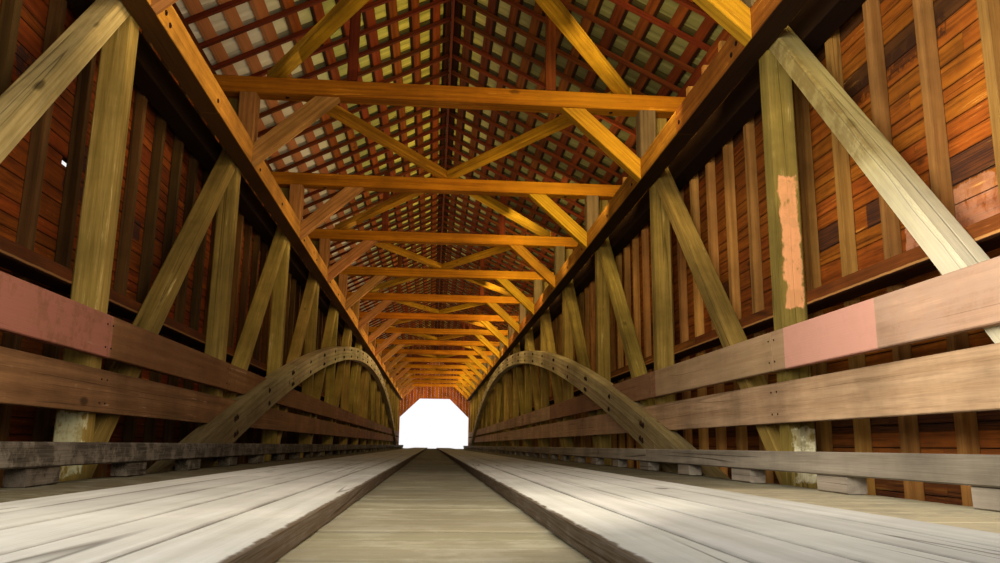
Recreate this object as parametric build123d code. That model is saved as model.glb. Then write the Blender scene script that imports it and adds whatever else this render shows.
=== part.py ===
from build123d import *
import math
import os

# Covered timber bridge at half real size: every length is a model millimetre, half the real one.
# X runs across the roadway, Y along the bridge, Z up; the origin is at midspan on the ground.
bay = 1677.0
half_bays = 8
deck_top = 1800.0
half_clear = 1220.0
end_reach = 550.0
fit_gap = 3.0

# Truss timbers
post_wide = 100.0
post_long = 84.0
leaf_wide = 98.0
chord_low = 1663.0
chord_tall = 129.0
brace_deep = 75.0
brace_side_gap = 5.0
brace_foot_top = 60.0
end_brace_foot_top = -120.0
brace_head_drop = 5.0
low_chord_tall = 220.0

# Arch ribs bolted to the inner faces of the posts
arch_top_gap = 104.0
arch_deep = 165.0
arch_foot_gap = 452.0
arch_spring_gap = 166.0
arch_seat_drop = 740.0

# Tie beams and their braces
tie_low = 2091.0
tie_tall = 99.0
tie_long = 110.0
knee_deep = 95.0
knee_long = 73.0
knee_head = 655.0
lateral_wide = 75.0
lateral_tall = 60.0
lateral_reach = 1037.0
queen_place = 585.0
queen_wide = 60.0
queen_long = 30.0

# Roof
ridge_top = 3127.0
roof_slope = 0.512
rafters_in_bay = 6
frame_end_gap = 130.75
rafter_wide = 30.0
rafter_deep = 26.0
ridge_thick = 18.0
ridge_deep = 130.0
plate_tall = 86.0
plate_wide = 50.0
plate_lap = 17.0
seat_deep = 10.0
eave_reach = 1720.0
strip_wide = 80.0
strip_step = 160.0
strip_count = 12
strip_first = 95.0
strip_thick = 12.0
ridge_strip = 60.0
cover_thick = 8.0
cap_wing = 130.0
cap_thick = 5.0
roof_overlap = 70.0

# Floor
deck_thick = 40.0
deck_side_gap = 105.0
deck_overrun = 70.0
stringer_tall = 100.0
stringer_wide = 60.0
stringer_places = (0.0, 340.0, 680.0, 1020.0)
beam_tall = 150.0
beam_long = 110.0
runner_shift = -51.0
runner_inner = 155.0
runner_outer = 613.0
runner_thick = 28.0
curb_block_tall = 46.0
curb_tall = 63.0
curb_wide = 78.0
curb_block_long = 180.0
curb_blocks_in_bay = 2.5

# Guard planks and side walls
rail_thick = 30.0
low_rail_bottom = 207.0
low_rail_top = 353.0
high_rail_bottom = 397.0
high_rail_top = 544.0
girt_low = 640.0
girt_tall = 55.0
stud_deep = 45.0
stud_wide = 40.0
siding_thick = 18.0
siding_drop = 450.0
portal_thick = 24.0
portal_side_gap = 20.0
portal_side_top = 1065.0
portal_flat_half = 525.0
portal_flat_top = 1712.0

# Abutments
abut_half = 1650.0
abut_front_gap = 316.0
abut_back_gap = 194.0
backwall_thick = 160.0
bed_tall = 60.0
bed_long = 140.0

truss_half = half_bays * bay
portal_face = truss_half + end_reach
arch_crown = chord_low - arch_top_gap - arch_deep
arch_rise = arch_crown + arch_seat_drop
arch_foot = truss_half - arch_foot_gap
arch_radius = (arch_foot ** 2 + arch_rise ** 2) / (2 * arch_rise)
arch_spring = truss_half - arch_spring_gap
abut_front = truss_half - abut_front_gap
abut_back = portal_face + abut_back_gap
frame_step = bay / rafters_in_bay
outer_leaf = half_clear + post_wide
wall_line = outer_leaf + leaf_wide
siding_line = wall_line + stud_deep
inner_leaf = half_clear - leaf_wide
beam_top = deck_top - deck_thick - stringer_tall
chord_top_level = beam_top - beam_tall
chord_bottom_level = chord_top_level - low_chord_tall
shelf = chord_bottom_level - bed_tall
tie_top = deck_top + tie_low + tie_tall
slope_angle = math.atan(roof_slope)
rafter_drop = rafter_deep / math.cos(slope_angle)
half_run = portal_face + portal_thick
deck_half = half_clear - deck_side_gap
curb_outer = deck_half + fit_gap
curb_inner = curb_outer - curb_wide
portal_half = half_clear - portal_side_gap
plate_inner = siding_line - plate_lap
plate_outer = plate_inner + plate_wide
plate_top = deck_top + ridge_top - roof_slope * plate_outer - rafter_drop + seat_deep

os.makedirs("parts", exist_ok=True)

# Rafters and studs share their places: six in a bay, and two past the last post at each end
frame_places = []
for i in range(2 * half_bays * rafters_in_bay):
    frame_places.append((i + 0.5) * frame_step - truss_half)
for end in (-1, 1):
    frame_places.append(end * (truss_half + frame_step / 2))
    frame_places.append(end * (portal_face - frame_end_gap))


def block(x0, x1, y0, y1, z0, z1):
    solid = Box(x1 - x0, y1 - y0, z1 - z0)
    return Pos((x0 + x1) / 2, (y0 + y1) / 2, (z0 + z1) / 2) * solid


def side_block(side, x0, x1, y0, y1, z0, z1):
    if side > 0:
        return block(x0, x1, y0, y1, z0, z1)
    return block(-x1, -x0, y0, y1, z0, z1)


def cross_shape(points, y0, y1):
    # points are (x, z) pairs of an outline, drawn out along the bridge
    outline = Polyline(*[(x, y0, z) for x, z in points], close=True)
    return extrude(make_face(outline), amount=y1 - y0, dir=(0, 1, 0))


def long_shape(points, x0, x1):
    # points are (y, z) pairs of an outline, drawn out across the bridge
    outline = Polyline(*[(x0, y, z) for y, z in points], close=True)
    return extrude(make_face(outline), amount=x1 - x0, dir=(1, 0, 0))


def save(name, shapes):
    solids = []
    for shape in shapes:
        solids.extend(shape.solids())
    whole = Compound(children=solids)
    whole.label = name
    export_step(whole, f"parts/{name}.step")


def post_place(k):
    return (k - half_bays) * bay


def tie_place(k):
    return post_place(k) - post_long / 2 - tie_long / 2


def roof_top(x):
    return deck_top + ridge_top - roof_slope * abs(x)


def roof_under(x):
    return roof_top(x) - rafter_drop


def arch_low(y):
    base = deck_top + arch_crown - arch_radius
    return base + math.sqrt(arch_radius ** 2 - y ** 2)


def arch_high(y):
    base = deck_top + arch_crown - arch_radius
    return base + math.sqrt((arch_radius + arch_deep) ** 2 - y ** 2)


# Abutments with a ledge for the arch feet and a shelf for the chords
def abutment(end):
    front = abut_front
    seat = deck_top - arch_seat_drop
    back_face = abut_back - backwall_thick
    outline = [
        (front, 0.0),
        (front, seat),
        (arch_spring, seat),
        (arch_spring, shelf),
        (back_face, shelf),
        (back_face, deck_top - deck_thick),
        (abut_back, deck_top - deck_thick),
        (abut_back, 0.0),
    ]
    return long_shape([(end * y, z) for y, z in outline], -abut_half, abut_half)


save("near_abutment", [abutment(-1)])
save("far_abutment", [abutment(1)])

beds = []
for end in (-1, 1):
    for place in (truss_half - 40.0, portal_face - 160.0):
        y = end * place
        beds.append(block(-wall_line, wall_line, y - bed_long / 2, y + bed_long / 2, shelf, shelf + bed_tall))
save("bed_timbers", beds)

# Trusses
for side, word in ((-1, "left"), (1, "right")):
    chord_end = portal_face - 10.0
    bottom = side_block(side, half_clear, wall_line, -chord_end, chord_end,
                        chord_bottom_level, chord_top_level)
    save(f"{word}_bottom_chord", [bottom])

    posts = []
    for k in range(2 * half_bays + 1):
        y = post_place(k)
        posts.append(side_block(side, half_clear, outer_leaf, y - post_long / 2, y + post_long / 2,
                                chord_top_level, tie_top))
    save(f"{word}_posts", posts)

    # One brace in each bay, its head between the chord leaves, both ends cut plumb on the posts
    braces = []
    x0 = half_clear + brace_side_gap
    x1 = outer_leaf - brace_side_gap
    if side < 0:
        x0, x1 = -x1, -x0
    for k in range(half_bays):
        foot_y = post_place(k) + post_long / 2
        head_y = post_place(k + 1) - post_long / 2
        head_z = deck_top + chord_low + chord_tall - brace_head_drop
        foot_z = deck_top + (end_brace_foot_top if k == 0 else brace_foot_top)
        fall = brace_deep * math.hypot(1.0, (head_z - foot_z) / (head_y - foot_y))
        outline = [(foot_y, foot_z), (head_y, head_z), (head_y, head_z - fall), (foot_y, foot_z - fall)]
        braces.append(long_shape(outline, x0, x1))
        braces.append(long_shape([(-y, z) for y, z in outline], x0, x1))
    save(f"{word}_braces", braces)

    chord_z0 = deck_top + chord_low
    chord_z1 = chord_z0 + chord_tall
    leaves = [
        side_block(side, inner_leaf, half_clear, -chord_end, chord_end, chord_z0, chord_z1),
        side_block(side, outer_leaf, wall_line, -chord_end, chord_end, chord_z0, chord_z1),
    ]
    save(f"{word}_top_chord", leaves)

    # Arch rib: a ring segment cut flat where it sits on the ledge and butts the abutment
    seat = deck_top - arch_seat_drop
    low_base = deck_top + arch_crown - arch_radius
    seat_y = arch_foot
    top_end = arch_high(arch_spring)
    lower = ThreePointArc((0, -seat_y, seat), (0, 0, deck_top + arch_crown), (0, seat_y, seat))
    upper = ThreePointArc(
        (0, -arch_spring, top_end),
        (0, 0, deck_top + arch_crown + arch_deep),
        (0, arch_spring, top_end),
    )
    edges = [
        lower,
        Line((0, seat_y, seat), (0, arch_spring, seat)),
        Line((0, arch_spring, seat), (0, arch_spring, top_end)),
        upper,
        Line((0, -arch_spring, top_end), (0, -arch_spring, seat)),
        Line((0, -arch_spring, seat), (0, -seat_y, seat)),
    ]
    rib = extrude(make_face(Curve() + edges), amount=leaf_wide, dir=(1, 0, 0))
    shift = inner_leaf if side > 0 else -half_clear
    save(f"{word}_arch", [Pos(shift, 0, 0) * rib])

    # Guard planks stop where the arch passes in front of the posts
    rails = []
    rail_end = truss_half + post_long / 2
    for z0, z1 in ((low_rail_bottom, low_rail_top), (high_rail_bottom, high_rail_top)):
        z0 = deck_top + z0
        z1 = deck_top + z1
        rise = z1 - z0
        top_low = math.sqrt(arch_radius ** 2 - (z1 - low_base) ** 2)
        foot_low = math.sqrt(arch_radius ** 2 - (z0 - low_base) ** 2)
        top_high = math.sqrt((arch_radius + arch_deep) ** 2 - (z1 - low_base) ** 2)
        foot_high = math.sqrt((arch_radius + arch_deep) ** 2 - (z0 - low_base) ** 2)
        xa = half_clear - rail_thick
        xb = half_clear
        if side < 0:
            xa, xb = -xb, -xa
        middle = [
            (-foot_low + fit_gap, z0),
            (foot_low - fit_gap, z0),
            (top_low - fit_gap, z1),
            (-top_low + fit_gap, z1),
        ]
        rails.append(long_shape(middle, xa, xb))
        for end in (-1, 1):
            outer = [
                (end * (foot_high + 2 * fit_gap), z0),
                (end * rail_end, z0),
                (end * rail_end, z1),
                (end * (top_high + 2 * fit_gap), z1),
            ]
            rails.append(long_shape(outer, xa, xb))
    save(f"{word}_rails", rails)

    # Knee braces hook from the tie beams down to the inner leaf of the top chord
    knees = []
    run = inner_leaf - knee_head
    rise = tie_low - chord_low
    long_cut = knee_deep * math.hypot(run, rise)
    foot_cut = long_cut / run
    head_cut = long_cut / rise
    outline = [
        (inner_leaf, deck_top + chord_low),
        (inner_leaf, deck_top + chord_low + foot_cut),
        (knee_head + head_cut, deck_top + tie_low),
        (knee_head, deck_top + tie_low),
    ]
    for k in range(2 * half_bays + 1):
        y = tie_place(k)
        shape = [(side * x, z) for x, z in outline]
        knees.append(cross_shape(shape, y - knee_long / 2, y + knee_long / 2))
    save(f"{word}_knee_braces", knees)

    # Rafters with a seat cut over the eave plate
    rafters = []
    seat_x = (deck_top + ridge_top - rafter_drop - plate_top) / roof_slope
    x_in = ridge_thick / 2
    x_tail = eave_reach - 20.0
    outline = [
        (x_in, roof_top(x_in)),
        (x_tail, roof_top(x_tail)),
        (x_tail, roof_under(x_tail)),
        (plate_outer, roof_under(plate_outer)),
        (plate_outer, plate_top),
        (seat_x, plate_top),
        (x_in, roof_under(x_in)),
    ]
    for y in frame_places:
        shape = [(side * x, z) for x, z in outline]
        rafters.append(cross_shape(shape, y - rafter_wide / 2, y + rafter_wide / 2))
    save(f"{word}_rafters", rafters)

    # Lengthwise roof strips with open gaps, then the roof covering on them
    roof_end = half_run + roof_overlap
    ca = math.cos(slope_angle)
    sa = math.sin(slope_angle)

    def slope_board(s0, s1, lift, thick):
        corners = []
        for s, t in ((s0, lift), (s1, lift), (s1, lift + thick), (s0, lift + thick)):
            corners.append((side * (s * ca + t * sa), deck_top + ridge_top - s * sa + t * ca))
        return cross_shape(corners, -roof_end, roof_end)

    strips = [slope_board(12.0, 12.0 + ridge_strip, 0.0, strip_thick)]
    for i in range(strip_count):
        s0 = strip_first + i * strip_step
        strips.append(slope_board(s0, s0 + strip_wide, 0.0, strip_thick))
    save(f"{word}_roof_strips", strips)
    cover_end = strip_first + (strip_count - 1) * strip_step + strip_wide + 15.0
    save(f"{word}_roof", [slope_board(6.0, cover_end, strip_thick, cover_thick)])

    # Side wall frame and boarding
    studs = []
    stud_top = plate_top - plate_tall
    stud_foot = deck_top - siding_drop + 40.0
    for y in frame_places:
        studs.append(side_block(side, wall_line, siding_line, y - stud_wide / 2, y + stud_wide / 2,
                                stud_foot, stud_top))
    save(f"{word}_studs", studs)
    siding = side_block(side, siding_line, siding_line + siding_thick, -portal_face, portal_face,
                        deck_top - siding_drop, deck_top + tie_low)
    save(f"{word}_siding", [siding])

# Wall girts between the posts and the studs, and curbs on their blocks
girts = []
curbs = []
curb_blocks = []
curb_end = portal_face - 6.0
block_step = bay / curb_blocks_in_bay
block_count = int(2 * (curb_end - curb_block_long) / block_step)
for side in (-1, 1):
    girts.append(side_block(side, outer_leaf, wall_line, -portal_face + 10.0, portal_face - 10.0,
                            deck_top + girt_low, deck_top + girt_low + girt_tall))
    low = deck_top + curb_block_tall
    curbs.append(side_block(side, curb_inner, curb_outer - fit_gap, -curb_end, curb_end, low, low + curb_tall))
    for i in range(block_count + 1):
        y = (i - block_count / 2) * block_step
        curb_blocks.append(side_block(side, curb_inner + 8.0, curb_outer - 12.0,
                                      y - curb_block_long / 2, y + curb_block_long / 2, deck_top, low))
save("wall_girts", girts)
save("curbs", curbs)
save("curb_blocks", curb_blocks)

# Tie beams on their head blocks, queen struts on every second tie
ties = []
heads = []
queens = []
for k in range(2 * half_bays + 1):
    y = tie_place(k)
    ties.append(block(-wall_line, wall_line, y - tie_long / 2, y + tie_long / 2, deck_top + tie_low, tie_top))
    for side in (-1, 1):
        heads.append(side_block(side, inner_leaf, half_clear, y - tie_long / 2, y + tie_long / 2,
                                deck_top + chord_low + chord_tall, deck_top + tie_low))
        if k % 2 == 0:
            inner = queen_place - queen_wide / 2
            outer = queen_place + queen_wide / 2
            top = [(inner, tie_top), (outer, tie_top), (outer, roof_under(outer)), (inner, roof_under(inner))]
            under = post_place(k) - frame_step / 2
            queens.append(cross_shape([(side * x, z) for x, z in top],
                                      under - queen_long / 2, under + queen_long / 2))
save("tie_beams", ties)
save("head_blocks", heads)
save("queen_struts", queens)

# Flat bracing over the ties: bars from the middle of one tie to the sides of the next
bars = None
for k in range(2 * half_bays):
    for side in (-1, 1):
        if k % 2 == 0:
            start = (side * lateral_reach, tie_place(k))
            stop = (0.0, tie_place(k + 1))
        else:
            start = (0.0, tie_place(k))
            stop = (side * lateral_reach, tie_place(k + 1))
        length = math.hypot(stop[0] - start[0], stop[1] - start[1])
        turn = math.degrees(math.atan2(stop[1] - start[1], stop[0] - start[0]))
        bar = Rectangle(length + lateral_wide, lateral_wide)
        middle = ((start[0] + stop[0]) / 2, (start[1] + stop[1]) / 2)
        bar = Pos(middle[0], middle[1], tie_top) * (Rot(0, 0, turn) * bar)
        bars = bar if bars is None else bars + bar
save("lateral_braces", [extrude(bars, amount=lateral_tall, dir=(0, 0, 1))])

# Ridge board, eave plates, ridge cap
ridge = block(-ridge_thick / 2, ridge_thick / 2, -portal_face, portal_face,
              roof_top(ridge_thick / 2) - ridge_deep, roof_top(ridge_thick / 2))
save("ridge_board", [ridge])
plates = []
for side in (-1, 1):
    plates.append(side_block(side, plate_inner, plate_outer, -portal_face, portal_face,
                             plate_top - plate_tall, plate_top))
save("eave_plates", plates)
lift = strip_thick + cover_thick
apex = deck_top + ridge_top + lift / math.cos(slope_angle)
wing_x = cap_wing * math.cos(slope_angle)
wing_fall = cap_wing * math.sin(slope_angle)
cap_rise = cap_thick / math.cos(slope_angle)
cap = [
    (0.0, apex),
    (wing_x, apex - wing_fall),
    (wing_x, apex - wing_fall + cap_rise),
    (0.0, apex + cap_rise),
    (-wing_x, apex - wing_fall + cap_rise),
    (-wing_x, apex - wing_fall),
]
save("ridge_cap", [cross_shape(cap, -half_run - roof_overlap, half_run + roof_overlap)])

# Floor: beams on the bottom chords, stringers, deck and runner planks
beams = []
for k in range(2 * half_bays + 1):
    for part in (-0.25, 0.25):
        y = post_place(k) + part * bay
        if abs(y) > portal_face - beam_long:
            continue
        reach = wall_line
        y_far = abs(y) + beam_long
        y_near = abs(y) - beam_long
        if arch_low(min(y_far, arch_spring)) < beam_top + 10.0 and arch_high(y_near) > chord_top_level - 10.0:
            if y_near < arch_spring:
                reach = inner_leaf - fit_gap
        beams.append(block(-reach, reach, y - beam_long / 2, y + beam_long / 2, chord_top_level, beam_top))
save("floor_beams", beams)
stringers = []
stringer_end = abut_back - backwall_thick - 10.0
for x in stringer_places:
    for side in (-1, 1):
        if x == 0.0 and side < 0:
            continue
        stringers.append(block(side * x - stringer_wide / 2, side * x + stringer_wide / 2,
                               -stringer_end, stringer_end, beam_top, beam_top + stringer_tall))
save("stringers", stringers)
deck_end = half_run + deck_overrun
save("deck", [block(-deck_half, deck_half, -deck_end, deck_end, deck_top - deck_thick, deck_top)])
runners = []
for side in (-1, 1):
    xa = runner_shift + side * runner_inner
    xb = runner_shift + side * runner_outer
    runners.append(block(min(xa, xb), max(xa, xb), -deck_end, deck_end, deck_top, deck_top + runner_thick))
save("runners", runners)


# Portal walls: gable boards around the clipped opening
def portal(end):
    foot = deck_top - siding_drop
    half = siding_line + siding_thick
    outline = [
        (-half, foot),
        (-portal_half, foot),
        (-portal_half, deck_top + portal_side_top),
        (-portal_flat_half, deck_top + portal_flat_top),
        (portal_flat_half, deck_top + portal_flat_top),
        (portal_half, deck_top + portal_side_top),
        (portal_half, foot),
        (half, foot),
        (half, roof_top(half) - fit_gap),
        (0.0, roof_top(0.0) - fit_gap),
        (-half, roof_top(half) - fit_gap),
    ]
    if end > 0:
        return cross_shape(outline, portal_face, portal_face + portal_thick)
    return cross_shape(outline, -portal_face - portal_thick, -portal_face)


save("near_portal", [portal(-1)])
save("far_portal", [portal(1)])
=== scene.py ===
import bpy
import bmesh
import math
import random
from mathutils import Matrix, Vector


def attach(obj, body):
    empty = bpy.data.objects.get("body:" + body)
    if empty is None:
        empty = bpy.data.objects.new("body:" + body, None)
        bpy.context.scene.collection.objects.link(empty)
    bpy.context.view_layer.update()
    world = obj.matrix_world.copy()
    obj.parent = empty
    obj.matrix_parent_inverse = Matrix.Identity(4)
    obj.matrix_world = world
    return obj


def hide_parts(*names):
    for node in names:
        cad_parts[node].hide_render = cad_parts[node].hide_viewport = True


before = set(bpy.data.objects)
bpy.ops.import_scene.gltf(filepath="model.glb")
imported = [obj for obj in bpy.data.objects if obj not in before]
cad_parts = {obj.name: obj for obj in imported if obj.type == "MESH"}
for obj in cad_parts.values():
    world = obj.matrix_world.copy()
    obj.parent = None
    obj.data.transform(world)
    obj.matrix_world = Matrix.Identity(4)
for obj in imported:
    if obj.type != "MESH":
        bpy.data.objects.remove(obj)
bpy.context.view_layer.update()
scene = bpy.context.scene
print("frame loaded")

# Main places in metres, as on the solids
bridge = dict(bay=1.677, halfBays=8, halfPost=0.042, halfTie=0.055, halfClear=1.22, halfFrame=1.418,
              portalFace=13.966, roofEnd=14.06)
rise = dict(ridge=4.927, slope=0.512, tieLow=3.891, tieTop=3.99, chordLow=3.463)
pitch = math.atan(rise["slope"])
frameStep = bridge["bay"] / 6
postRange = range(2 * bridge["halfBays"] + 1)
framePlaces = [(i - 49.5) * frameStep for i in range(100)]
bothSides = ((-1, "left"), (1, "right"))
bothEnds = ((-1, "near"), (1, "far"))


def linear(code):
    # sRGB hex to the linear values that sockets take
    parts = [int(code[i:i + 2], 16) / 255 for i in (1, 3, 5)]
    return [p / 12.92 if p <= 0.04045 else ((p + 0.055) / 1.055) ** 2.4 for p in parts] + [1.0]


def addNode(tree, kind, values=None, **settings):
    # A value that is a socket is linked, any other is set
    node = tree.nodes.new(kind)
    for key, value in settings.items():
        setattr(node, key, value)
    for key, value in (values or {}).items():
        if isinstance(value, bpy.types.NodeSocket):
            tree.links.new(value, node.inputs[key])
        else:
            node.inputs[key].default_value = value
    return node


def output(tree, kind, values=None, **settings):
    return addNode(tree, kind, values, **settings).outputs[0]


def calc(tree, operation, a, b=0.0):
    return output(tree, "ShaderNodeMath", {0: a, 1: b}, operation=operation)


def plus(tree, a, b):
    return calc(tree, "ADD", a, b)


def minus(tree, a, b):
    return calc(tree, "SUBTRACT", a, b)


def times(tree, a, b):
    return calc(tree, "MULTIPLY", a, b)


def chance(tree, tone, by):
    # Another number from 0 to 1 for each tone
    return calc(tree, "FRACT", times(tree, tone, by))


def vector(tree, operation, a, b):
    return output(tree, "ShaderNodeVectorMath", {0: a, 1: b}, operation=operation)


def axes(tree, place):
    return addNode(tree, "ShaderNodeSeparateXYZ", {0: place}).outputs


def span(tree, value, low, high, start, stop):
    return output(tree, "ShaderNodeMapRange", {0: value, 1: low, 2: high, 3: start, 4: stop})


def blend(tree, factor, a, b):
    a, b = (linear(side) if isinstance(side, str) else side for side in (a, b))
    return addNode(tree, "ShaderNodeMix", {0: factor, 6: a, 7: b}, data_type="RGBA").outputs[2]


def shifted(tree, colour, value, hue=0.5):
    return output(tree, "ShaderNodeHueSaturation", {"Hue": hue, "Value": value, "Color": colour})


def noise(tree, place, scale, detail=3.0, rough=0.55, bend=0.0):
    spread = vector(tree, "MULTIPLY", place, scale)
    values = {"Vector": spread, "Scale": 1.0, "Detail": detail, "Roughness": rough, "Distortion": bend}
    return output(tree, "ShaderNodeTexNoise", values)


def ownPlace(tree):
    return addNode(tree, "ShaderNodeTexCoord").outputs["Object"]


def ownValue(tree, name, output="Vector"):
    return addNode(tree, "ShaderNodeAttribute", attribute_name=name).outputs[output]


def postPlace(k):
    return (k - bridge["halfBays"]) * bridge["bay"]


def tiePlace(k):
    return postPlace(k) - bridge["halfPost"] - bridge["halfTie"]


def turnOf(along, across):
    # Euler turn that lays a board's length on "along" and its width near "across"
    x = Vector(along).normalized()
    z = x.cross(Vector(across)).normalized()
    y = z.cross(x)
    return Matrix((x, y, z)).transposed().to_euler("XYZ")


upright = turnOf((0, 0, 1), (0, 1, 0))
lengthwise = turnOf((0, 1, 0), (1, 0, 0))
lengthUp = turnOf((0, 1, 0), (0, 0, 1))
crosswise = turnOf((1, 0, 0), (0, 1, 0))


# Materials

def newFinish(name):
    mat = bpy.data.materials.new(name)
    mat.use_nodes = True
    mat.node_tree.nodes.clear()
    return mat, mat.node_tree


def closeFinish(tree, colour, height, deep, strength, rough, **values):
    bump = output(tree, "ShaderNodeBump", {"Strength": strength, "Distance": deep, "Height": height})
    values = {"Roughness": rough, "Specular IOR Level": 0.1, "Base Color": colour, "Normal": bump, **values}
    shader = addNode(tree, "ShaderNodeBsdfPrincipled", values)
    addNode(tree, "ShaderNodeOutputMaterial", {"Surface": shader.outputs[0]})


# What a timber has unless its look says otherwise, and how often each mark repeats in a metre of it
usual = dict(fine=1.0, rings=11.0, ringDepth=0.1, spread=0.2, stain=0.3, hueSwing=0.01, knots=0.7, checkWidth=0.012,
             checks=0.6, edge=0.35, edgeWidth=0.006, bump=0.5, rough=0.82)
shake = dict(at=0.33, wander=0.5, width=0.03)
often = dict(grain=(1.3, 30.0, 30.0), fibre=(7.0, 330.0, 330.0), cloud=(2.4, 2.4, 2.4), broad=(0.55, 0.55, 0.55),
             knot=(2.1, 4.6, 4.6), check=(0.28, 15.0, 15.0), checked=(0.9, 5.0, 5.0), wander=(1.6, 0.0, 0.0),
             streak=(3.2, 62.0, 62.0), crumb=(26.0, 26.0, 14.0))


def zone(paint, ragged=0.0, soft=0.003, worn=0.7, cover=1.0, thin=None, **limits):
    # Old paint, bleaching, painted light and painted shade go between the limits on the axes named. Thin paint is
    # worn through in clouds.
    return dict(paint=paint, ragged=ragged, soft=soft, worn=worn, cover=cover, thin=thin, limits=limits)


def zoneMask(tree, split, crumb, patch):
    mask = None
    soft = patch["soft"]
    for axis, (low, high) in patch["limits"].items():
        at = plus(tree, split["xyz".index(axis)], times(tree, minus(tree, crumb, 0.5), patch["ragged"]))
        above = span(tree, at, low - soft, low + soft, 0.0, 1.0)
        below = span(tree, at, high - soft, high + soft, 1.0, 0.0)
        both = times(tree, above, below)
        mask = both if mask is None else times(tree, mask, both)
    return mask


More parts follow.
